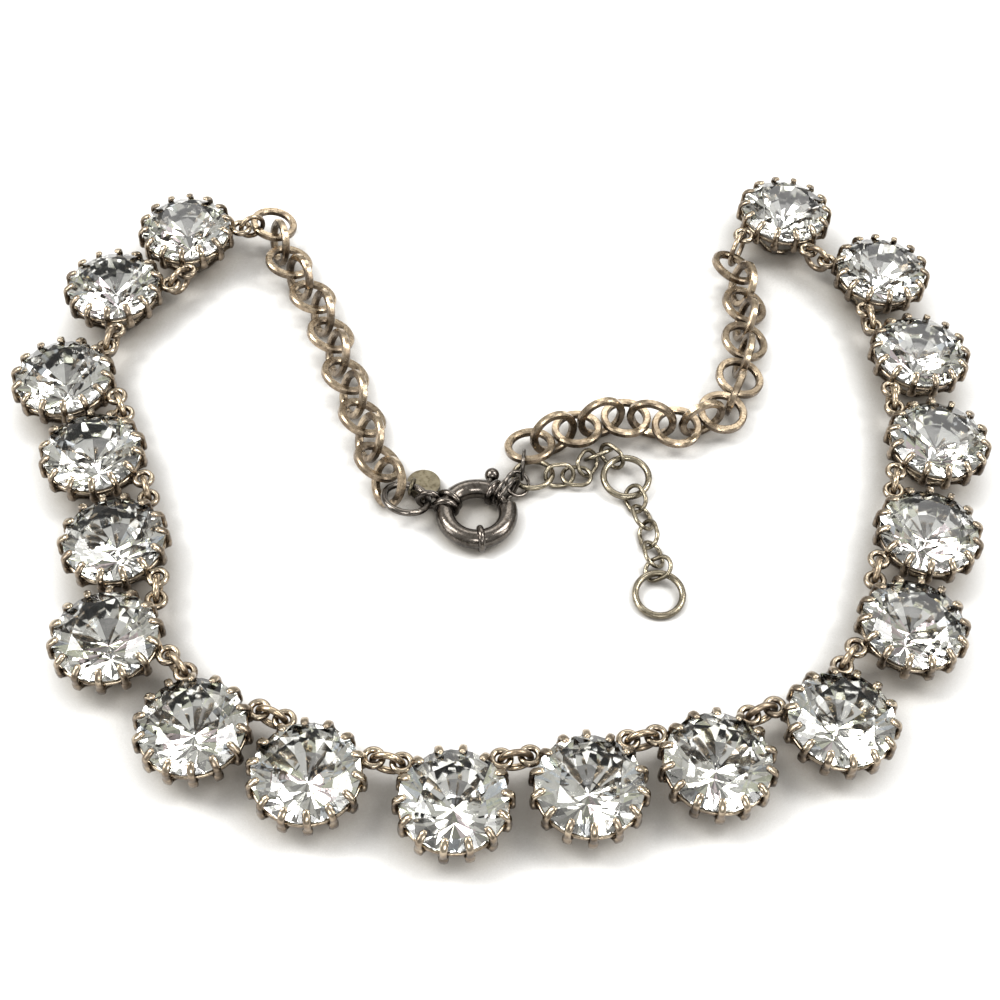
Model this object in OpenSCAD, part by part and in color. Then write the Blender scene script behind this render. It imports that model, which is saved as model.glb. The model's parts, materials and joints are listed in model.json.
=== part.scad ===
// Riviere necklace of round cut stones in claw settings, lying closed on a table.
// Millimetres, +Z up, the table at z = 0, the origin under the middle of the whole outline.

/* [Stones] */
// Diameter of each round stone at its girdle
stone_d = 12; // [11:0.25:13]
// Diameter of the table as a share of the stone
table_share = 0.58; // [0.5:0.01:0.66]
// Height of the crown above the girdle
crown_h = 1.6; // [1.2:0.1:2]
// Depth of the back below the girdle
pavilion_h = 4.9; // [4.2:0.1:5.4]
// Thickness of the girdle
girdle_h = 0.3; // [0.2:0.05:0.5]
// Height of the stone's point above the table top
culet_lift = 0.45; // [0.3:0.05:0.8]

/* [Settings] */
// Number of claws round each stone
claw_count = 14; // [12:1:16]
// Width of a claw over the crown
claw_w = 1.05; // [0.8:0.05:1.3]
// Thickness of a claw beside the girdle
claw_t = 0.6; // [0.5:0.05:0.8]
// How far a claw folds in over the crown
claw_reach = 1.15; // [0.8:0.05:1.4]
// Extra width of the claw's foot below the girdle
claw_foot = 0.35; // [0.2:0.05:0.5]
// Outer radius of the ring that the setting stands on
foot_r = 3.3; // [2.8:0.1:3.6]
// Gap between a stone and the metal that holds it
seat_gap = 0.08; // [0.05:0.01:0.12]
// Wire of the two loops soldered to each setting
loop_wire = 0.8; // [0.6:0.05:0.9]
// Hole of each loop
loop_hole = 1.2; // [1.1:0.05:1.4]

/* [Jump rings between settings] */
// Wire of these rings
jump_wire = 0.8; // [0.6:0.05:0.85]
// Mean diameter of these rings
jump_d = 3.4; // [3.2:0.1:3.8]

/* [Side chains] */
// Outer diameter of a link
link_d = 6.5; // [6.4:0.05:6.55]
// Thickness of a link's flat-sided stock
link_t = 0.95; // [0.9:0.05:1.05]

/* [Clasp] */
// Mean diameter of the bent tube
clasp_d = 7.8; // [7.4:0.1:8.4]
// Outer diameter of the tube
tube_d = 2.4; // [2.2:0.1:2.6]
// Diameter of the sliding tongue
tongue_d = 1.1; // [0.9:0.05:1.2]
// Gap between the tongue and the bore round it
slide_gap = 0.08; // [0.05:0.01:0.1]
// Diameter of the ball that the finger pulls
ball_d = 1.85; // [1.7:0.05:2.1]
// How far the tongue turns back, in degrees
tongue_travel = 38; // [34:1:40]
// Diameter of the thick bare disc
disc_d = 4.2; // [4:0.05:4.3]

/* [Extender] */
// Outer width of a link
ext_w = 3.25; // [3.2:0.01:3.3]
// Wire of a link
ext_wire = 0.55; // [0.5:0.05:0.6]
// Outer diameter of the two large rings
ring_d = 6.55; // [6.45:0.05:6.6]
// Wire of the two large rings
ring_wire = 0.85; // [0.75:0.05:0.9]

/* [Hidden] */
$fn = 48;

brass = [0.72, 0.6, 0.38];
bronze = [0.66, 0.52, 0.4];
dark = [0.3, 0.27, 0.24];
crystal = [0.9, 0.95, 0.97];

// Where each setting stands on the table, and how far its claws are turned
spots = [[-45, 40.5, 16], [-53, 29, 16], [-56.5, 12.5, 0], [-50.5, 0.5, 24], [-45.5, -12.5, 9],
  [-44, -26, 17], [-32.5, -37, 21], [-19.5, -42, 20], [-3.5, -44.5, 6], [11, -42, 17],
  [25, -38.5, 13], [39, -32.5, 18], [48.5, -19.5, 25], [52, -6, 6], [55, 8.5, 16],
  [54.5, 23.5, 24], [51, 38.5, 16], [38.5, 49.5, 23]];
stones = len(spots);

// Heights and radii of a setting, measured from the middle of the girdle
stone_r = stone_d / 2;
girdle_z = culet_lift + pavilion_h + girdle_h / 2;
edge_z = girdle_h / 2;
table_r = stone_r * table_share;
table_z = edge_z + crown_h;
star_r = (table_r * cos(22.5) + stone_r) / 2;
star_z = table_z - (star_r * cos(22.5) - table_r) * crown_h / (stone_r - table_r);
lower_r = stone_r * 0.25;
lower_z = -edge_z - pavilion_h + lower_r * cos(22.5) * pavilion_h / stone_r;
back_angle = atan(pavilion_h / stone_r);
crown_slope = (star_z - edge_z) / (stone_r - star_r);
grip_r = stone_r + seat_gap;
outer_r = grip_r + claw_t;
rim_drop = 0.35;
rim_in = stone_r - rim_drop * stone_r / pavilion_h + seat_gap / sin(back_angle);
rim_out = grip_r + claw_t / 3;
block_low = edge_z + 1.6;
block_high = edge_z + 0.7;

// The layout grows with the settings
grow = outer_r / 6.68;

// Loops, and the two directions in which a setting's loops point
loop_r = (loop_hole + loop_wire) / 2;
end_loop_r = loop_r + 0.12;
loop_at = outer_r + loop_hole / 2 + 0.15;
loop_z = girdle_z - edge_z - rim_drop - 0.4;
loop_span = 0.94 * jump_d;
chain_turn_left = 12;
chain_turn_right = 217;

// The middle of the outline, so that the origin lies under it
xs = [for (p = spots) p[0] * grow];
ys = [for (p = spots) p[1] * grow];
mid = [(max(xs) + min(xs)) / 2, (max(ys) + min(ys)) / 2];

function spot(i) = [spots[i][0] * grow, spots[i][1] * grow] - mid;
function place(p) = [p[0] * grow, p[1] * grow] - mid;
clasp_spot = [-2.8, -3.6];
function by_clasp(p) = place(clasp_spot) + [p[0], p[1]] - clasp_spot;
function bearing(v) = atan2(v[1], v[0]);
function polar(r, a) = [r * cos(a), r * sin(a)];
function lift(p, z) = [p[0], p[1], z];
function open_angle(i) = acos(min(1, (norm(spot(i + 1) - spot(i)) - loop_span) / (2 * loop_at)));
function loop_on(i) = i < stones - 1 ? bearing(spot(i + 1) - spot(i)) + open_angle(i) : chain_turn_right;
function loop_back(i) = i > 0 ? bearing(spot(i - 1) - spot(i)) - open_angle(i - 1) : chain_turn_left;
function loop_centre(i, a) = lift(spot(i) + polar(loop_at, a), loop_z);

// A smooth route through a few points, as distances and positions along it
function bend(a, b, c, d, t) = 0.5 * (2 * b + (c - a) * t + (2 * a - 5 * b + 4 * c - d) * t * t
  + (3 * b - a - 3 * c + d) * t * t * t);
function smooth(p) = [for (i = [0:len(p) - 2], t = [0:0.125:0.99])
  bend(p[max(0, i - 1)], p[i], p[i + 1], p[min(len(p) - 1, i + 2)], t), p[len(p) - 1]];
function run(p, i = 0, s = 0) = i == len(p) - 1 ? [s] : concat([s], run(p, i + 1, s + norm(p[i + 1] - p[i])));
function along(p, d, s) = [lookup(s, [for (i = [0:len(p) - 1]) [d[i], p[i][0]]]),
  lookup(s, [for (i = [0:len(p) - 1]) [d[i], p[i][1]]])];

// Side chain links lie nearly flat and nearly upright by turns, and the chain may twist as it goes
link_r = (link_d - link_t) / 2;
left_slack = 1;
right_slack = 1.25;
left_roll = [-12, -30];
right_roll = [-24, 13];
left_drop = 0.4;
right_drop = 0.8;

function roll_of(i, count, roll) = roll[0] + (roll[1] - roll[0]) * i / count + (i % 2) * 90;
function rest_z(roll) = link_d / 2 * abs(sin(roll)) + link_t / 2 * abs(cos(roll)) + 0.02;
function link_z(i, roll, drop) = i % 2 == 1 ? rest_z(roll)
  : max(rest_z(roll), rest_z(roll + 90) - (i == 0 ? 0 : drop));

left_route = [[-31.9, 40], [-29.5, 35.4], [-25.8, 29.5], [-23.3, 23.5], [-20.9, 17], [-18, 9.8]];
right_route = [[32.2, 36.5], [32.1, 29], [31.2, 21.5], [28.8, 14.5], [22.5, 11.2], [15.5, 12.3], [9.3, 10]];

left_path = smooth(concat([spot(0) + polar(12.1 * grow, chain_turn_left + 7)], [for (p = left_route) place(p)],
  [by_clasp([-15.6, 3.2]), by_clasp([-13.9, -0.3])]));
left_run = run(left_path);
left_pitch = link_d - 2 * link_t - left_slack;
left_count = 2 * round((left_run[len(left_run) - 1] / left_pitch - 1) / 2) + 1;
right_path = smooth(concat([spot(stones - 1) + polar(12.1 * grow, chain_turn_right + 15)], [for (p = right_route) place(p)],
  [by_clasp([3.5, 6.95])]));
right_run = run(right_path);
right_pitch = link_d - 2 * link_t - right_slack;
right_count = 2 * round(right_run[len(right_run) - 1] / right_pitch / 2);

// Clasp sizes
clasp_r = clasp_d / 2;
tube_r = tube_d / 2;
tongue_r = tongue_d / 2;
bore_r = tongue_r + slide_gap;
collar_r = tube_r + 0.1;
collar_t = 0.45;
clasp_z = collar_r + collar_t + 0.01;
clasp_at = place(clasp_spot);
gap_from = 18;
gap_to = 54;
stem_at = 75;
stem_r = 0.38;
slot_half = stem_r + slide_gap;
slot_turn = asin(slot_half / (clasp_r + bore_r));
bail_at = 163;
bail_turn = 17;
bail_r = 1.3;
bail_t = 0.4;
bail_reach = clasp_r + tube_r + bail_r - bail_t + 0.35;

// A cut stone with its girdle at z = 0
function circle_of(n, r, z, a = 0) = [for (i = [0:n - 1]) [r * cos(i * 360 / n + a), r * sin(i * 360 / n + a), z]];

module cut_stone() {
  points = concat(circle_of(8, table_r, table_z), circle_of(8, star_r, star_z, 22.5),
    circle_of(16, stone_r, edge_z), circle_of(16, stone_r, -edge_z),
    circle_of(8, lower_r, lower_z, 22.5), [[0, 0, -edge_z - pavilion_h]]);
  table = [[for (i = [7:-1:0]) i]];
  stars = [for (i = [0:7]) [i, (i + 1) % 8, 8 + i]];
  kites = [for (i = [0:7]) [i, 8 + i, 16 + 2 * i, 8 + (i + 7) % 8]];
  breaks = [for (i = [0:7], k = [0:1]) k == 0
    ? [16 + 2 * i, 8 + i, 16 + 2 * i + 1]
    : [16 + 2 * i + 1, 8 + i, 16 + (2 * i + 2) % 16]];
  band = [for (i = [0:15]) [16 + i, 16 + (i + 1) % 16, 32 + (i + 1) % 16, 32 + i]];
  lower = [for (i = [0:7], k = [0:1]) k == 0
    ? [32 + 2 * i, 32 + 2 * i + 1, 48 + i]
    : [32 + 2 * i + 1, 32 + (2 * i + 2) % 16, 48 + i]];
  mains = [for (i = [0:7]) [32 + 2 * i, 48 + i, 56, 48 + (i + 7) % 8]];
  polyhedron(points = points, faces = concat(table, stars, kites, breaks, band, lower, mains));
}

// One folded claw in the plane of its radius, standing on the foot ring
function over_crown(r) = edge_z + (stone_r - r) * crown_slope + seat_gap / cos(atan(crown_slope));

module claw_side() {
  tip = stone_r - claw_reach;
  polygon([[foot_r - 0.7, -girdle_z], [foot_r, -girdle_z], [outer_r - 0.5, -block_low],
    [outer_r - 0.03, -block_low + 0.1], [outer_r - 0.03, 0.05], [outer_r - 0.13, 0.4],
    [outer_r - 0.38, 0.72], [tip + 0.45, over_crown(tip + 0.45) + 0.5],
    [tip + 0.12, over_crown(tip + 0.12) + 0.4], [tip, over_crown(tip) + 0.2], [tip + 0.02, over_crown(tip)],
    [stone_r, over_crown(stone_r)], [grip_r, edge_z], [grip_r, -edge_z - 0.25],
    [rim_in + 0.1, -edge_z - rim_drop - 0.1], [rim_in - 0.1, -block_low]]);
}

module claw_plan() {
  tip = stone_r - claw_reach;
  half = claw_w / 2;
  polygon([[0, -half - 0.1], [tip - 0.2, -half * 0.4], [tip, -half * 0.5], [tip + 0.15, -half * 0.8],
    [tip + 0.45, -half], [outer_r + 1, -half], [outer_r + 1, half], [tip + 0.45, half],
    [tip + 0.15, half * 0.8], [tip, half * 0.5], [tip - 0.2, half * 0.4], [0, half + 0.1]]);
}

module claw() {
  intersection() {
    rotate([90, 0, 0])
      translate([0, 0, -claw_w])
        linear_extrude(2 * claw_w)
          claw_side();
    translate([0, 0, -girdle_z - 1])
      linear_extrude(girdle_z + table_z + 3)
        claw_plan();
  }
  translate([outer_r - 0.7, -(claw_w + claw_foot) / 2, -block_low])
    cube([0.7, claw_w + claw_foot, block_low - block_high]);
}

module band(r_in, r_out, z_low, z_high) {
  rotate_extrude()
    polygon([[r_in, z_low], [r_out, z_low], [r_out, z_high], [r_in, z_high]]);
}

module ring(r, wire) {
  rotate_extrude()
    translate([r, 0])
      circle(d = wire);
}

module setting(i) {
  translate(lift(spot(i), girdle_z)) {
    for (k = [0:claw_count - 1])
      rotate(k * 360 / claw_count + spots[i][2])
        claw();
    band(rim_in, rim_out, -edge_z - rim_drop - 0.7, -edge_z - rim_drop);
    band(foot_r - 0.75, foot_r + 0.05, -girdle_z, -girdle_z + 0.7);
  }
  for (a = [loop_on(i), loop_back(i)])
    translate(loop_centre(i, a))
      ring(a == chain_turn_left || a == chain_turn_right ? end_loop_r : loop_r, loop_wire);
}

module stone(i) {
  translate(lift(spot(i), girdle_z))
    rotate(spots[i][2])
      cut_stone();
}

// A ring that passes through two points and hangs below them
module ring_through(a, b, r, wire) {
  reach = norm(b - a);
  drop = sqrt(max(0, r * r - reach * reach / 4));
  heading = bearing(b - a);
  slope = asin((b[2] - a[2]) / reach);
  translate((a + b) / 2)
    rotate([0, -slope, heading])
      translate([0, 0, -drop])
        rotate([90, 0, 0])
          ring(r, wire);
}

module setting_rings() {
  for (i = [0:stones - 2])
    ring_through(loop_centre(i, loop_on(i)), loop_centre(i + 1, loop_back(i + 1)), jump_d / 2, jump_wire);
}

module link() {
  h = link_t / 2;
  e = link_t / 5;
  rotate_extrude()
    translate([link_r, 0])
      polygon([[-h, -h + e], [-h + e, -h], [h - e, -h], [h, -h + e], [h, h - e], [h - e, h], [-h + e, h], [-h, h - e]]);
}

function chain_head(path, dist, count, i) = let (step = dist[len(dist) - 1] / count)
  bearing(along(path, dist, min(count, i + 0.5) * step) - along(path, dist, max(0, i - 0.5) * step));

module side_chain(path, dist, count, roll, drop) {
  for (i = [0:count])
    translate(lift(along(path, dist, i * dist[len(dist) - 1] / count), link_z(i, roll_of(i, count, roll), drop)))
      rotate([0, 0, chain_head(path, dist, count, i)])
        rotate([roll_of(i, count, roll), 0, 0])
          link();
}

// A point of a link, in its own plane, on the side towards a target
function in_hole(c, h, roll, target, reach) = let (
  u = [cos(h), sin(h), 0],
  w = [-sin(h) * cos(roll), cos(h) * cos(roll), sin(roll)],
  v = (target - c) * u * u + (target - c) * w * w)
  c + v / norm(v) * reach;

// A ring round the wires at two points, standing upright between them
module ring_round(a, b, r, wire) {
  translate((a + b) / 2)
    rotate([0, 0, bearing(b - a)])
      rotate([90, 0, 0])
        ring(r, wire);
}

module end_ring(path, dist, count, roll, start) {
  first = lift(path[0], link_z(0, roll[0], 0));
  held = in_hole(first, chain_head(path, dist, count, 0), roll[0], start, link_r);
  side = start + lift(polar(end_loop_r, bearing(held - start)), 0);
  ring_round(side, held, norm(held - side) / 2 + link_t / 2 + jump_wire / 2 + 0.14, jump_wire - 0.1);
}

module chain_left() {
  side_chain(left_path, left_run, left_count, left_roll, left_drop);
  end_ring(left_path, left_run, left_count, left_roll, loop_centre(0, loop_back(0)));
}

module chain_right() {
  side_chain(right_path, right_run, right_count, right_roll, right_drop);
  end_ring(right_path, right_run, right_count, right_roll, loop_centre(stones - 1, loop_on(stones - 1)));
}

// A band of stock round the tube at one place
module collar(a, wire) {
  rotate(a)
    translate([clasp_r, 0, 0])
      rotate([90, 0, 0])
        ring(collar_r, wire);
}

module tube_part(r, from, to) {
  rotate(from)
    rotate_extrude(angle = to - from)
      translate([clasp_r, 0])
        circle(r);
}

module clasp_ring() {
  translate(lift(clasp_at, clasp_z)) {
    difference() {
      union() {
        tube_part(tube_r, gap_to, 360 + gap_from);
        collar(61, 2 * collar_t);
        collar(151, 2 * collar_t);
        collar(170, 2 * collar_t);
        collar(280, 2 * collar_t);
      }
      tube_part(bore_r, gap_to - 2, stem_at + tongue_travel + 30);
      tube_part(bore_r, gap_from - 22, gap_from + 2);
      rotate(stem_at - slot_turn)
        rotate_extrude(angle = tongue_travel + 2 * slot_turn)
          translate([clasp_r, -slot_half])
            square([tube_r + 2, 2 * slot_half]);
    }
    rotate(bail_at)
      translate([bail_reach, 0, 0])
        rotate([90, 0, bail_turn])
          ring(bail_r, 2 * bail_t);
  }
}

module clasp_tongue() {
  translate(lift(clasp_at, clasp_z)) {
    tube_part(tongue_r, gap_from - 10, stem_at + 8);
    rotate(stem_at)
      translate([clasp_r, 0, 0])
        rotate([0, 90, 0])
          cylinder(h = tube_r + ball_d / 2 + 0.45, r = stem_r);
    rotate(stem_at)
      translate([clasp_r + tube_r + ball_d / 2 + 0.35, 0, 0])
        sphere(d = ball_d);
  }
}

// The jump ring between the left chain and the bail, lying through both
left_link_r = 2.75;
left_link_wire = 0.85;
left_link_lean = [-14, 9.4, 0];
left_link_at = lift(clasp_at + polar(bail_reach, bail_at) + polar(left_link_r + 0.05, 192), clasp_z + 0.73);

module clasp_link_left() {
  translate(left_link_at)
    rotate(left_link_lean)
      ring(left_link_r, left_link_wire);
}

// The bare disc has a small soldered loop round that ring
tag_turn = 76;
tag_loop_r = 0.97;
tag_loop_wire = 0.45;
tag_loop_drop = 0.15;

module tag_disc() {
  translate(lift(by_clasp([-9.7, 1.45]), 0.52))
    cylinder(h = 0.9, d = disc_d, center = true);
  translate(left_link_at)
    rotate(left_link_lean)
      rotate(tag_turn)
        translate([left_link_r, 0, -tag_loop_drop])
          rotate([90, 0, 0])
            ring(tag_loop_r, tag_loop_wire);
}

// Two rings hang on the tongue, a third one joins them to the extender and a fourth to the right chain
tongue_rings = [[43, 52, 2.1, 2.38, 94], [27, 54, 2.15, 2.43, 97]];
tongue_ring_wire = 0.45;

module clasp_links_right() {
  for (q = tongue_rings)
    translate(lift(clasp_at + polar(clasp_r - tongue_r - 0.47, q[0]) + polar(q[2] * 0.95, q[1]), q[3]))
      rotate([0, 0, q[1]])
        rotate([q[4], 0, 0])
          ring(q[2], tongue_ring_wire);
  translate(lift(by_clasp([2.1, 1.52]), 1.53))
    rotate([0, 0, 47])
      rotate([35, 0, 0])
        ring(1.55, tongue_ring_wire);
  translate(lift(by_clasp([2.7, 3.7]), 2.62))
    rotate([0, 0, 88])
      rotate([90, 0, 0])
        ring(1.83, tongue_ring_wire);
}

// An oval link of round wire, long along x
ext_r = (ext_w - ext_wire) / 2;
ext_straight = 0.9;

module oval_link() {
  for (s = [0, 180])
    rotate(s) {
      translate([ext_straight / 2, 0, 0])
        rotate(-90)
          rotate_extrude(angle = 180)
            translate([ext_r, 0])
              circle(d = ext_wire);
      translate([-ext_straight / 2, ext_r, 0])
        rotate([0, 90, 0])
          cylinder(h = ext_straight, d = ext_wire);
    }
}

// Where the oval links lie: position, height, heading, roll and pitch
oval_links = [[7.37, 3.3, 1.4, 10, 50, 0], [9.55, 3.45, 1.15, 0, 5, 0], [10.9, 5.55, 1.3, 62, 45, 0],
  [12.3, 6.9, 1.42, 30, -55, 0], [14, 6.5, 1.75, -42, 75, 0], [16.95, 0.15, 1.32, -65, 48, 0],
  [17.8, -2.6, 1.15, -72, -35, 0], [18.45, -5.35, 1.4, -78, 50, 0], [19, -8.18, 1.15, -78, -35, 0],
  [19.5, -10.5, 1.5, 10, 10, -40]];

module extender_chain() {
  translate(lift(by_clasp([4.02, 3.38]), 1.15))
    rotate([0, 0, -150])
      rotate([10, 0, 0])
        ring(2.45, 0.7);
  for (q = oval_links)
    translate(lift(by_clasp(q), q[2]))
      rotate([0, 0, q[3]])
        rotate([q[4], 0, 0])
          rotate([0, q[5], 0])
            oval_link();
}

module extender_rings() {
  translate(lift(by_clasp([15.8, 3.35]), 1.5))
    rotate([7, 0, 0])
      ring((ring_d - ring_wire) / 2, ring_wire);
  translate(lift(by_clasp([19.6, -13.85]), 0.9))
    rotate([7.5, 0, 0])
      ring((ring_d - ring_wire) / 2, ring_wire);
}

color(crystal) stone(0);  // stone_01
color(crystal) stone(1);  // stone_02
color(crystal) stone(2);  // stone_03
color(crystal) stone(3);  // stone_04
color(crystal) stone(4);  // stone_05
color(crystal) stone(5);  // stone_06
color(crystal) stone(6);  // stone_07
color(crystal) stone(7);  // stone_08
color(crystal) stone(8);  // stone_09
color(crystal) stone(9);  // stone_10
color(crystal) stone(10);  // stone_11
color(crystal) stone(11);  // stone_12
color(crystal) stone(12);  // stone_13
color(crystal) stone(13);  // stone_14
color(crystal) stone(14);  // stone_15
color(crystal) stone(15);  // stone_16
color(crystal) stone(16);  // stone_17
color(crystal) stone(17);  // stone_18
color(brass) setting(0);  // setting_01
color(brass) setting(1);  // setting_02
color(brass) setting(2);  // setting_03
color(brass) setting(3);  // setting_04
color(brass) setting(4);  // setting_05
color(brass) setting(5);  // setting_06
color(brass) setting(6);  // setting_07
color(brass) setting(7);  // setting_08
color(brass) setting(8);  // setting_09
color(brass) setting(9);  // setting_10
color(brass) setting(10);  // setting_11
color(brass) setting(11);  // setting_12
color(brass) setting(12);  // setting_13
color(brass) setting(13);  // setting_14
color(brass) setting(14);  // setting_15
color(brass) setting(15);  // setting_16
color(brass) setting(16);  // setting_17
color(brass) setting(17);  // setting_18
color(bronze) setting_rings();
color(bronze) chain_left();
color(bronze) chain_right();
color(dark) clasp_ring();
color(dark) clasp_tongue();
color(dark) clasp_link_left();
color(bronze) clasp_links_right();
color(brass) tag_disc();
color(brass) extender_chain();
color(brass) extender_rings();
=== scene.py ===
# Riviere necklace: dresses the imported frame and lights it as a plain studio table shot.
import json
import math

import bmesh
import bpy
from mathutils import Matrix, Vector


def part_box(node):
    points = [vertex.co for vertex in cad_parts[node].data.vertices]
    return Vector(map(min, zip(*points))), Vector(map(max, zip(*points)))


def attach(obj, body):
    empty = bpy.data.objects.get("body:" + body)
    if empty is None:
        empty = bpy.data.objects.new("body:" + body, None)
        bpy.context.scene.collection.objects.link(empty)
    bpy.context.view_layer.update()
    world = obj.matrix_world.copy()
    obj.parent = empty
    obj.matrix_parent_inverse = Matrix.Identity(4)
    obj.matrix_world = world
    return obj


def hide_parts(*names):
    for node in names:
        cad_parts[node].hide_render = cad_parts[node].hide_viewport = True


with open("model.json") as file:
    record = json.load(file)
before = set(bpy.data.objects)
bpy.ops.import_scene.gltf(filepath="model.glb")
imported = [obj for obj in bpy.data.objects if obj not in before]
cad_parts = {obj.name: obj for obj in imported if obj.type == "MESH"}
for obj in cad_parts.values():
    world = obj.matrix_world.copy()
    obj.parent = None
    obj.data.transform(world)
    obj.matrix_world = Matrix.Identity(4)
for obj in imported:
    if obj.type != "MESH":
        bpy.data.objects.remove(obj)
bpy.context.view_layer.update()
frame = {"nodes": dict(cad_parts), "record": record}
nodes = frame["nodes"]
MM = 0.001

# Camera: fitted to the photograph, 57.97 mm on a 36 mm square sensor
right = Vector((0.99901, 0.03539, 0.02688))
up = Vector((-0.04444, 0.79551, 0.60431))
back = right.cross(up).normalized()
up = back.cross(right).normalized()
camera_data = bpy.data.cameras.new("camera")
camera_data.lens = 57.97
camera_data.sensor_width = 36
camera_data.sensor_fit = "HORIZONTAL"
camera_data.clip_start = 0.01
camera_data.clip_end = 20
camera = bpy.data.objects.new("camera", camera_data)
bpy.context.scene.collection.objects.link(camera)
turn = Matrix((right, up, back)).transposed().to_4x4()
camera.matrix_world = Matrix.Translation(Vector((0.75, -125.085, 161.371)) * MM) @ turn
bpy.context.scene.camera = camera


def new_material(name):
    """An empty node material with its output and one shader."""
    mat = bpy.data.materials.new(name)
    mat.use_nodes = True
    tree = mat.node_tree
    tree.nodes.clear()
    out = tree.nodes.new("ShaderNodeOutputMaterial")
    shader = tree.nodes.new("ShaderNodeBsdfPrincipled")
    tree.links.new(shader.outputs[0], out.inputs["Surface"])
    return mat, tree, shader


def noise(tree, scale, detail=3.0, rough=0.55, coords=None):
    """Noise on object coordinates, at scale per metre."""
    tex = tree.nodes.new("ShaderNodeTexNoise")
    tex.inputs["Scale"].default_value = scale
    tex.inputs["Detail"].default_value = detail
    tex.inputs["Roughness"].default_value = rough
    if coords is None:
        coords = tree.nodes.new("ShaderNodeTexCoord").outputs["Object"]
    tree.links.new(coords, tex.inputs["Vector"])
    return tex.outputs["Fac"]


def ramp(tree, source, stops):
    """A colour ramp over (position, colour) stops."""
    node = tree.nodes.new("ShaderNodeValToRGB")
    band = node.color_ramp
    while len(band.elements) < len(stops):
        band.elements.new(0.5)
    for element, (place, colour) in zip(band.elements, stops):
        element.position = place
        element.color = (*colour, 1)
    tree.links.new(source, node.inputs["Fac"])
    return node.outputs["Color"]


def spread(tree, source, low, high, from_low=0.3, from_high=0.7):
    """A value mapped from one range to another."""
    node = tree.nodes.new("ShaderNodeMapRange")
    node.inputs["From Min"].default_value = from_low
    node.inputs["From Max"].default_value = from_high
    node.inputs["To Min"].default_value = low
    node.inputs["To Max"].default_value = high
    tree.links.new(source, node.inputs["Value"])
    return node.outputs["Result"]


def mixed(tree, fac, a, b, blend="MIX"):
    """One colour mixed into another."""
    node = tree.nodes.new("ShaderNodeMix")
    node.data_type = "RGBA"
    node.blend_type = blend
    for value, socket in ((fac, node.inputs["Factor"]), (a, node.inputs["A"]), (b, node.inputs["B"])):
        if hasattr(value, "is_linked") or hasattr(value, "links"):
            tree.links.new(value, socket)
        else:
            socket.default_value = value if isinstance(value, float) else (*value, 1)
    return [s for s in node.outputs if s.type == "RGBA"][0]


def bump(tree, shader, source, strength, distance):
    """A bump from one height."""
    node = tree.nodes.new("ShaderNodeBump")
    node.inputs["Strength"].default_value = strength
    node.inputs["Distance"].default_value = distance
    tree.links.new(source, node.inputs["Height"])
    tree.links.new(node.outputs["Normal"], shader.inputs["Normal"])


def aged_metal_with_painted_top_light(name, bright, middle, deep, low_rough, high_rough):
    """Plated metal whose lacquer has browned in patches, with upper faces painted lighter as a painted
    highlight.
    """
    mat, tree, shader = new_material(name)
    place = tree.nodes.new("ShaderNodeTexCoord").outputs["Object"]
    patches = noise(tree, 420, 4, 0.6, place)
    fine = noise(tree, 2400, 3, 0.6, place)
    geometry = tree.nodes.new("ShaderNodeNewGeometry")
    split = tree.nodes.new("ShaderNodeSeparateXYZ")
    tree.links.new(geometry.outputs["Normal"], split.inputs[0])
    # Painted highlight: the more a face points up, the lighter its colour
    painted_top_light = spread(tree, split.outputs["Z"], 0.0, 0.3, 0.1, 1.0)
    add = tree.nodes.new("ShaderNodeMath")
    add.operation = "ADD"
    tree.links.new(patches, add.inputs[0])
    tree.links.new(painted_top_light, add.inputs[1])
    colour = ramp(tree, add.outputs[0], ((0.36, deep), (0.57, middle), (0.84, bright)))
    speck = ramp(tree, fine, ((0.3, (0.5, 0.46, 0.42)), (0.52, (1, 1, 1))))
    tree.links.new(mixed(tree, 1.0, colour, speck, "MULTIPLY"), shader.inputs["Base Color"])
    shader.inputs["Metallic"].default_value = 1
    tree.links.new(spread(tree, patches, high_rough, low_rough), shader.inputs["Roughness"])
    bump(tree, shader, fine, 0.35, 0.00004)
    return mat


setting_metal = aged_metal_with_painted_top_light("setting_metal_aged_painted_top_light", (0.52, 0.44, 0.33), (0.22, 0.175, 0.13),
                           (0.085, 0.067, 0.051), 0.13, 0.32)
chain_metal = aged_metal_with_painted_top_light("chain_metal_aged_painted_top_light", (0.54, 0.435, 0.305), (0.22, 0.172, 0.124),
                         (0.095, 0.074, 0.055), 0.17, 0.38)
clasp_metal = aged_metal_with_painted_top_light("clasp_metal_aged_painted_top_light", (0.18, 0.16, 0.14), (0.09, 0.08, 0.07),
                         (0.05, 0.044, 0.039), 0.15, 0.3)
pale_metal = aged_metal_with_painted_top_light("pale_metal_aged_painted_top_light", (0.38, 0.335, 0.25), (0.18, 0.157, 0.112),
                        (0.09, 0.077, 0.056), 0.18, 0.34)
tag_metal = aged_metal_with_painted_top_light("tag_metal_aged_painted_top_light", (0.2, 0.175, 0.12), (0.1, 0.086, 0.06),
                       (0.05, 0.043, 0.032), 0.3, 0.5)
by_slot = {"setting_metal": setting_metal, "chain_metal": chain_metal, "clasp_metal": clasp_metal,
           "pale_metal": pale_metal}


def crystal_glass():
    """Clear glass with a faint green tint and fine rub marks."""
    mat, tree, shader = new_material("crystal_glass")
    shader.inputs["Base Color"].default_value = (0.975, 0.985, 0.975, 1)
    shader.inputs["Transmission Weight"].default_value = 1
    shader.inputs["IOR"].default_value = 1.54
    marks = noise(tree, 900, 4, 0.6)
    tree.links.new(spread(tree, marks, 0.0, 0.03, 0.55, 0.8), shader.inputs["Roughness"])
    return mat


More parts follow.
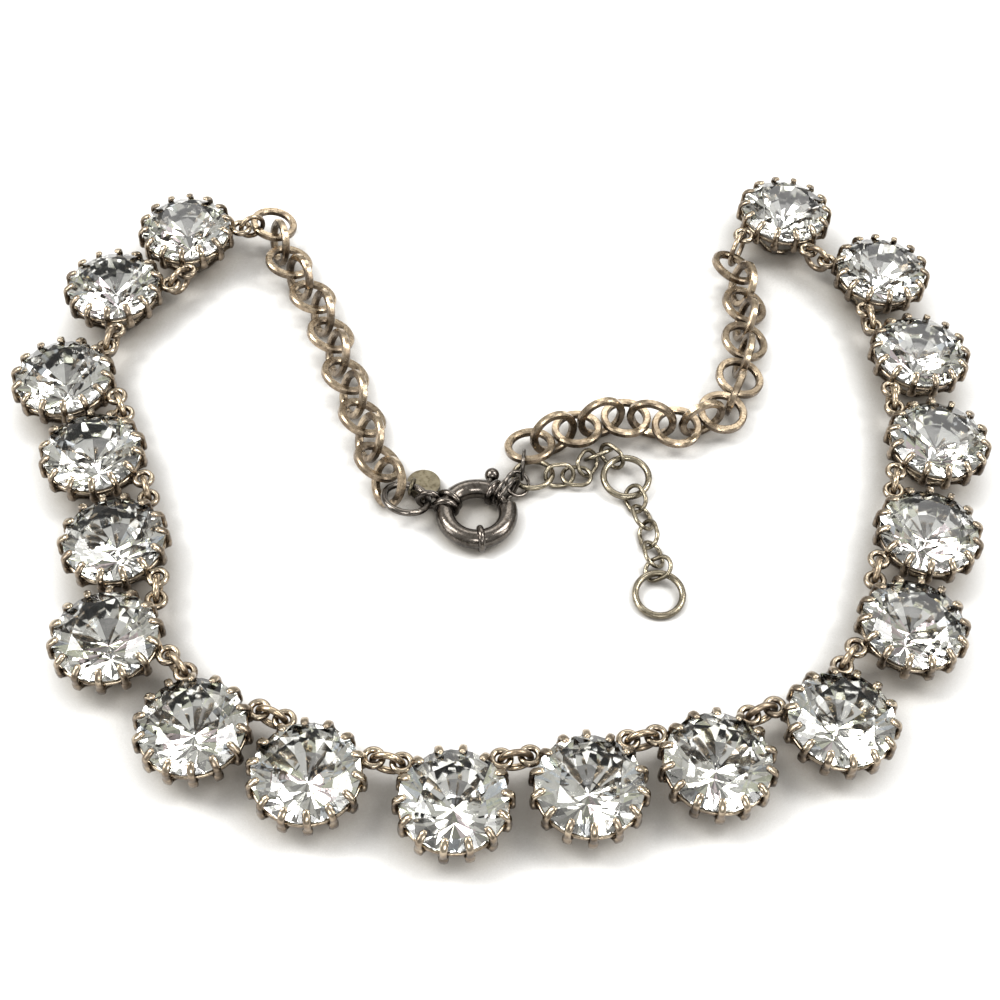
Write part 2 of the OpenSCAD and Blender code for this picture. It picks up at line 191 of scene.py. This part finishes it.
def foil(name, low, high):
    """The mirror coat behind the stone, in one painted tone that stands in for reflected light and shade.
    """
    mat, tree, shader = new_material(name)
    tone = noise(tree, 900, 2, 0.5)
    tree.links.new(ramp(tree, tone, ((0.3, low), (0.7, high))), shader.inputs["Base Color"])
    shader.inputs["Metallic"].default_value = 1
    tree.links.new(spread(tree, tone, 0.02, 0.09), shader.inputs["Roughness"])
    return mat


glass = crystal_glass()
# The foils: mirror coats in painted tones, bright, dark and tinted, that stand in for reflections
FOILS = [glass, foil("foil_painted_bright", (0.95, 0.945, 0.92), (0.99, 0.985, 0.965)),
         foil("foil_painted_dark", (0.38, 0.375, 0.37), (0.52, 0.51, 0.5)),
         foil("foil_painted_grey", (0.68, 0.67, 0.63), (0.8, 0.79, 0.75)),
         foil("foil_painted_green", (0.8, 0.82, 0.68), (0.91, 0.92, 0.79)),
         foil("foil_painted_rose", (0.88, 0.76, 0.79), (0.96, 0.86, 0.88)),
         foil("foil_painted_blue", (0.76, 0.81, 0.89), (0.87, 0.91, 0.96)),
         foil("foil_painted_pale", (0.87, 0.865, 0.83), (0.95, 0.945, 0.915))]
PAINTED_BRIGHT, PAINTED_DARK, PAINTED_GREY, PAINTED_GREEN, PAINTED_ROSE, PAINTED_BLUE, PAINTED_PALE = range(1, 8)

for name, node in nodes.items():
    wanted = next(s["material_slot"] for s in frame["record"]["subparts"] if s["node"] == name)
    if wanted in by_slot:
        for slot in node.material_slots:
            slot.material = tag_metal if name == "tag_disc" else by_slot[wanted]

# Stones: the same cut as the solids in front, with two tiers of silvered facets behind in painted
# reflection tones
# Millimetres: the girdle's height over the table, then the stone's own sizes
GIRDLE_Z = 5.5
STONE_R = 6.0
TABLE_R = 3.48
CROWN_H = 1.6
GIRDLE_H = 0.3
BACK_H = 4.9
# Degrees between the sixteen facets round the stone
STEP = 22.5
# Where each ring of a stone's points starts: stars, rim, lower rim, inner tier, point and rim's middles
STAR, RIM, LOW_RIM, TIER, POINT, MIDDLE = 8, 16, 32, 48, 64, 65
# Degrees that each stone and its claws are turned
TURNS = (16, 16, 0, 24, 9, 17, 21, 20, 6, 17, 13, 18, 25, 6, 16, 24, 16, 23)


def circle_of(count, radius, z, start=0.0):
    """Points round the stone's axis, in millimetres."""
    step = 2 * math.pi / count
    return [Vector((radius * math.cos(i * step + math.radians(start)),
                    radius * math.sin(i * step + math.radians(start)), z)) for i in range(count)]


def painted_reflection_tone_of(angle, tier, k):
    """The painted reflection tone of a back facet, by the direction in which it lies and its tier."""
    angle %= 360
    if tier:
        # The tones here are painted reflections:
        # A dark wedge at the far side between two bright ones, as in the photograph
        if 64 <= angle < 110:
            return PAINTED_DARK
        if 34 <= angle < 64 or 110 <= angle < 146:
            return PAINTED_BRIGHT
        return (PAINTED_PALE, PAINTED_GREY, PAINTED_ROSE, PAINTED_PALE, PAINTED_GREEN, PAINTED_BRIGHT, PAINTED_GREY)[k * 5 % 7]
    if 60 <= angle < 120:
        return (PAINTED_GREY, PAINTED_PALE, PAINTED_GREEN, PAINTED_PALE)[k % 4]
    return (PAINTED_PALE, PAINTED_GREY, PAINTED_BRIGHT, PAINTED_GREEN, PAINTED_PALE, PAINTED_DARK, PAINTED_BRIGHT, PAINTED_PALE, PAINTED_BLUE, PAINTED_GREY, PAINTED_BRIGHT)[k * 7 % 11]


def cut_stone(name, centre, turned, kind=0):
    """A cut stone: glass crown and girdle, silvered back in painted reflection tones."""
    half = GIRDLE_H / 2
    flat_share = math.cos(math.radians(STEP))
    star_r = (TABLE_R * flat_share + STONE_R) / 2
    star_z = half + CROWN_H - (star_r * flat_share - TABLE_R) * CROWN_H / (STONE_R - TABLE_R)
    points = circle_of(8, TABLE_R, half + CROWN_H) + circle_of(8, star_r, star_z, STEP)
    points += circle_of(16, STONE_R, half) + circle_of(16, STONE_R, -half)
    tier_r = STONE_R * 0.5
    tier_z = -half - BACK_H * 0.5
    inner = circle_of(16, tier_r, tier_z, STEP / 2)
    # Uneven cutting: each inner corner sits a little lower
    for i, p in enumerate(inner):
        p.z -= (0.1, 0.22, 0.04, 0.17, 0.26)[(i * 3 + kind) % 5]
    points += inner
    points.append(Vector((0, 0, -half - BACK_H)))
    points += [(points[LOW_RIM + i] + points[LOW_RIM + (i + 1) % 16]) / 2 for i in range(16)]
    front = [list(range(8))]
    front += [[i, STAR + i, (i + 1) % 8] for i in range(8)]
    front += [[i, STAR + (i + 7) % 8, RIM + 2 * i, STAR + i] for i in range(8)]
    for i in range(8):
        front.append([RIM + 2 * i, RIM + 2 * i + 1, STAR + i])
        front.append([RIM + 2 * i + 1, RIM + (2 * i + 2) % 16, STAR + i])
    for i in range(16):
        after = (i + 1) % 16
        front.append([LOW_RIM + i, MIDDLE + i, LOW_RIM + after, RIM + after, RIM + i])
    rear = []
    painted_tones = []
    for i in range(16):
        here = turned + STEP * i + STEP / 2
        after = (i + 1) % 16
        for k, pair in enumerate(((LOW_RIM + i, MIDDLE + i), (MIDDLE + i, LOW_RIM + after))):
            rear.append([pair[1], pair[0], TIER + i])
            painted_tones.append(painted_reflection_tone_of(here - 6 + 12 * k, 0, i * 2 + k + kind))
        rear.append([LOW_RIM + after, TIER + i, TIER + after])
        painted_tones.append(painted_reflection_tone_of(here + STEP / 2, 0, i + kind + 1))
        rear.append([TIER + after, TIER + i, POINT])
        painted_tones.append(painted_reflection_tone_of(here + STEP / 2, 1, i + kind))
    mesh = bpy.data.meshes.new(name)
    spin = Matrix.Rotation(math.radians(turned), 4, "Z")
    place = [(centre + spin @ p) * MM for p in points]
    mesh.from_pydata(place, [], front + rear)
    for mat in FOILS:
        mesh.materials.append(mat)
    for k, face in enumerate(mesh.polygons):
        face.material_index = 0 if k < len(front) else painted_tones[k - len(front)]
    tidy = bmesh.new()
    tidy.from_mesh(mesh)
    bmesh.ops.recalc_face_normals(tidy, faces=tidy.faces)
    tidy.to_mesh(mesh)
    tidy.free()
    piece = bpy.data.objects.new(name, mesh)
    bpy.context.scene.collection.objects.link(piece)
    return piece


# Settings: rounded claws bent over the crown, standing on a foot ring, with a rim ring and two loops
CLAWS = 14
# Height from the girdle, radius, half width and half height of the foot ring and of the rim ring
FOOT_RING = (-5.15, 3.0, 0.36, 0.34)
RIM_RING = (-0.86, 5.86, 0.2, 0.26)
# Radius of a loop, of the two outermost loops, and the wire's diameter
LOOP_R, LOOP_R_END, LOOP_WIRE = 1.0, 1.12, 0.8
# Radius, height from the girdle, half width and half thickness along one claw, from its foot to its tip
CLAW = ((3.0, -5.3, 0.34, 0.24), (3.35, -5.1, 0.36, 0.26), (4.4, -3.75, 0.38, 0.26),
        (5.5, -2.35, 0.42, 0.26), (6.1, -1.9, 0.44, 0.27), (6.3, -1.76, 0.5, 0.33),
        (6.32, -1.66, 0.56, 0.35), (6.32, -1.3, 0.58, 0.35), (6.32, -0.9, 0.56, 0.35),
        (6.33, -0.76, 0.5, 0.31), (6.36, -0.62, 0.43, 0.28), (6.37, -0.4, 0.42, 0.27),
        (6.37, 0.0, 0.42, 0.27), (6.34, 0.24, 0.42, 0.27), (6.24, 0.48, 0.43, 0.27),
        (6.05, 0.7, 0.44, 0.27), (5.82, 0.86, 0.45, 0.27), (5.6, 1.0, 0.45, 0.27),
        (5.4, 1.1, 0.43, 0.26), (5.22, 1.2, 0.37, 0.22), (5.1, 1.27, 0.26, 0.15),
        (5.04, 1.3, 0.11, 0.06))
# Points round a claw's section, and how square it is through its sides and its faces: 1 is an ellipse
ACROSS = 12
SIDE_POWER, FACE_POWER = 0.72, 0.85


def shell(name, points, faces):
    """One smooth closed mesh piece, from points in millimetres."""
    mesh = bpy.data.meshes.new(name)
    mesh.from_pydata([p * MM for p in points], [], faces)
    for face in mesh.polygons:
        face.use_smooth = True
    piece = bpy.data.objects.new(name, mesh)
    bpy.context.scene.collection.objects.link(piece)
    return piece


def add_tube(points, faces, rings, closed):
    """Skin a row of equal rings of points, and close its ends or its circle."""
    start = len(points)
    count = len(rings[0])
    for row in rings:
        points += row
    last = len(rings) if closed else len(rings) - 1
    for i in range(last):
        for k in range(count):
            a = start + i * count + k
            b = start + i * count + (k + 1) % count
            c = start + (i + 1) % len(rings) * count + (k + 1) % count
            d = start + (i + 1) % len(rings) * count + k
            faces.append([a, b, c, d])
    if not closed:
        faces.append([start + k for k in range(count)][::-1])
        faces.append([start + (len(rings) - 1) * count + k for k in range(count)])


def claw_rings(centre, angle):
    """Rings of points along one claw."""
    out = Vector((math.cos(angle), math.sin(angle), 0))
    side = Vector((-math.sin(angle), math.cos(angle), 0))
    rows = []
    for i, (r, z, wide, thick) in enumerate(CLAW):
        before, after = CLAW[max(0, i - 1)], CLAW[min(len(CLAW) - 1, i + 1)]
        along = Vector((after[0] - before[0], after[1] - before[1])).normalized()
        cross = out * along.y - Vector((0, 0, 1)) * along.x
        row = []
        for k in range(ACROSS):
            t = 2 * math.pi * k / ACROSS
            c, s = math.cos(t), math.sin(t)
            flat = math.copysign(abs(c) ** SIDE_POWER, c)
            deep = math.copysign(abs(s) ** FACE_POWER, s)
            row.append(centre + out * r + Vector((0, 0, z)) + side * (wide * flat) + cross * (thick * deep))
        rows.append(row)
    return rows


def round_ring(centre, radius, wide, high, around=64, across=10):
    """Rings of points of a level ring with an oval section."""
    rows = []
    for i in range(around):
        a = 2 * math.pi * i / around
        out = Vector((math.cos(a), math.sin(a), 0))
        rows.append([centre + out * (radius + wide * math.cos(2 * math.pi * k / across))
                     + Vector((0, 0, high * math.sin(2 * math.pi * k / across))) for k in range(across)])
    return rows


def setting(name, centre, turned, loops):
    """Fourteen claws, the foot ring, the rim ring and the two loops of one setting."""
    points, faces = [], []
    for k in range(CLAWS):
        add_tube(points, faces, claw_rings(centre, math.radians(turned) + 2 * math.pi * k / CLAWS), False)
    for (z, radius, wide, high), around in ((FOOT_RING, 64), (RIM_RING, 96)):
        add_tube(points, faces, round_ring(centre + Vector((0, 0, z)), radius, wide, high, around), True)
    for at, radius in loops:
        add_tube(points, faces, round_ring(at, radius, LOOP_WIRE / 2, LOOP_WIRE / 2, 40, 12), True)
    piece = shell(name, points, faces)
    tidy = bmesh.new()
    tidy.from_mesh(piece.data)
    bmesh.ops.recalc_face_normals(tidy, faces=tidy.faces)
    tidy.to_mesh(piece.data)
    tidy.free()
    piece.data.materials.append(setting_metal)
    return piece


centres = []
for k in range(len(TURNS)):
    low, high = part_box(f"stone_{k + 1:02d}")
    middle = (low + high) / 2 / MM
    centres.append(Vector((middle.x, middle.y, GIRDLE_Z)))
# A loop's distance from the stone's axis, its height from the girdle, and the two loops' span at a joint
LOOP_AT, LOOP_LOW, LOOP_SPAN = 7.43, -0.9, 3.196
# Degrees in which the outer loops of the first and the last setting point
FIRST_TURN, LAST_TURN = 12, 217


def loop_angle(k, other):
    """The direction of the loop of setting k that joins it to its neighbour."""
    if other < 0:
        return math.radians(FIRST_TURN)
    if other >= len(centres):
        return math.radians(LAST_TURN)
    line = centres[other] - centres[k]
    swing = math.acos(min(1, (line.length - LOOP_SPAN) / (2 * LOOP_AT)))
    return math.atan2(line.y, line.x) + (swing if other > k else -swing)


for k, turned in enumerate(TURNS):
    node = f"stone_{k + 1:02d}"
    stone = cut_stone(f"cut_{node}", centres[k], turned, k)
    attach(stone, "necklace")
    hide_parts(node)
    loops = []
    for other in (k + 1, k - 1):
        a = loop_angle(k, other)
        at = centres[k] + Vector((LOOP_AT * math.cos(a), LOOP_AT * math.sin(a), LOOP_LOW))
        loops.append((at, LOOP_R if 0 <= other < len(centres) else LOOP_R_END))
    held = setting(f"claw_setting_{k + 1:02d}", centres[k], turned, loops)
    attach(held, "necklace")
    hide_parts(f"setting_{k + 1:02d}")

# Floor: pale paper with a brown shade painted into its colour close under the jewel, by ambient occlusion
floor_mesh = bpy.data.meshes.new("floor")
reach = 3.0  # metres
floor_mesh.from_pydata([(-reach, -reach, 0), (reach, -reach, 0), (reach, reach, 0), (-reach, reach, 0)], [],
                       [(0, 1, 2, 3)])
floor = bpy.data.objects.new("floor", floor_mesh)
bpy.context.scene.collection.objects.link(floor)
floor_mat, floor_tree, floor_shader = new_material("floor_white_painted_shade")
tone = noise(floor_tree, 6, 2, 0.5)
paper = ramp(floor_tree, tone, ((0.3, (0.86, 0.855, 0.84)), (0.7, (0.88, 0.875, 0.865))))
# Painted shade: where ambient occlusion finds the jewel near, the floor's colour turns brown
painted_shade_occlusion = floor_tree.nodes.new("ShaderNodeAmbientOcclusion")
painted_shade_occlusion.samples = 8
painted_shade_occlusion.inputs["Distance"].default_value = 0.012
shade = ramp(floor_tree, painted_shade_occlusion.outputs["AO"], ((0.2, (0.27, 0.24, 0.205)), (0.5, (0.47, 0.45, 0.42)),
                                                 (0.78, (0.85, 0.855, 0.86)), (0.96, (1, 1, 1))))
floor_tree.links.new(mixed(floor_tree, 1.0, paper, shade, "MULTIPLY"), floor_shader.inputs["Base Color"])
floor_shader.inputs["Roughness"].default_value = 0.6
floor_shader.inputs["Specular IOR Level"].default_value = 0.2
floor_mesh.materials.append(floor_mat)


def softbox(name, place, size, power, colour=(1, 1, 1)):
    """An area light that points at the middle of the necklace."""
    data = bpy.data.lights.new(name, "AREA")
    data.shape = "RECTANGLE"
    data.size, data.size_y = size
    data.energy = power
    data.color = colour
    lamp = bpy.data.objects.new(name, data)
    lamp.location = place
    lamp.rotation_euler = Vector(place).to_track_quat("Z", "Y").to_euler()
    bpy.context.scene.collection.objects.link(lamp)


# Light: six soft boxes round the table, in metres and watts, and a pale sky
softbox("light_left", (-0.65, 0.1, 0.85), (0.34, 0.6), 9.5, (1, 0.99, 0.97))
softbox("light_right", (0.65, 0.1, 0.85), (0.3, 0.5), 7, (1, 0.99, 0.98))
softbox("light_far_left", (-1.0, -0.3, 0.5), (0.3, 0.5), 3.5)
softbox("light_far_right", (1.0, -0.25, 0.55), (0.25, 0.45), 2.5)
softbox("light_front", (0.15, -0.85, 0.75), (0.5, 0.25), 4.5)
softbox("light_back", (0.1, 0.9, 0.9), (0.9, 0.5), 3.8, (1, 0.995, 0.98))

world = bpy.data.worlds.new("world")
bpy.context.scene.world = world
world.use_nodes = True
background = world.node_tree.nodes["Background"]
background.inputs["Color"].default_value = (1, 0.995, 0.975, 1)
background.inputs["Strength"].default_value = 0.55

bpy.context.scene.view_settings.view_transform = "Standard"
bpy.context.scene.view_settings.look = "None"
